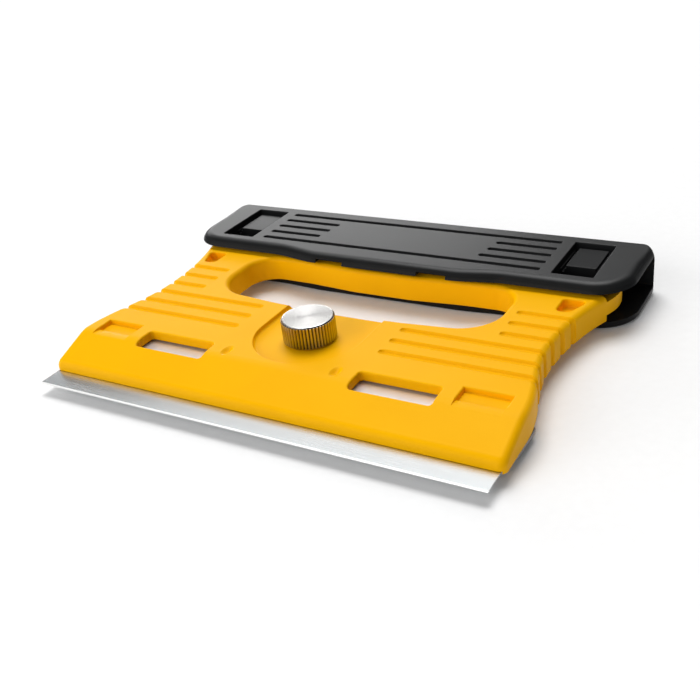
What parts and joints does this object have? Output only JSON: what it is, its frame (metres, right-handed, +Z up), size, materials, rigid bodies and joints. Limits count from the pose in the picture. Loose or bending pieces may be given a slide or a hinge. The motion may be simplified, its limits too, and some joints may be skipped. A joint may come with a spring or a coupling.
{
  "type": "window scraper",
  "caption": "Wide hand-held window scraper: waisted body with a hand hole, screw-clamped blade at the front and a channel-shaped blade cover parked over the handle.",
  "frame": {"origin": "middle of the whole length and width, at the height of the cover's underside", "axes": "+X along the blade towards the right-hand end as seen from the cutting edge with the deck up, +Y from the cutting edge back to the handle, +Z up from the underside to the knob"},
  "size_m": [0.1664, 0.1246, 0.018],
  "materials": {
    "yellow_plastic": "satin moulded",
    "stainless_blade": "ground, with a honed front edge",
    "plate_steel": "rolled sheet",
    "zinc_steel": "zinc plated",
    "turned_aluminium": "turned and knurled",
    "black_plastic": "fine-grained moulded"
  },
  "bodies": {
    "body": {"body": "yellow_plastic", "knob_washer": "zinc_steel"},
    "blade": {"blade": "stainless_blade"},
    "clamp": {"clamp_plate": "plate_steel", "clamp_stud": "zinc_steel", "guide_pin_left": "zinc_steel", "guide_pin_right": "zinc_steel"},
    "knob": {"knob": "turned_aluminium"},
    "cover": {"blade_cover": "black_plastic"}
  },
  "joints": [
    {"name": "knob_turn", "type": "hinge", "parent": "body", "child": "knob", "pos_m": [0, -0.0199, 0.0104], "axis": [0, 0, 1], "range_deg": [0, 540]},
    {"name": "plate_drop", "type": "slide", "parent": "body", "child": "clamp", "axis": [0, 0, -1], "range_m": [0, 0.0015]},
    {"name": "blade_slide", "type": "slide", "parent": "body", "child": "blade", "axis": [0, -1, 0], "range_m": [0, 0.02]},
    {"name": "cover_slide", "type": "slide", "parent": "body", "child": "cover", "axis": [0, 1, 0], "range_m": [0, 0.045]}
  ],
  "couplings": [
    {"joint": "knob_turn", "follows": "plate_drop", "rad_per_m": 6283.2}
  ]
}
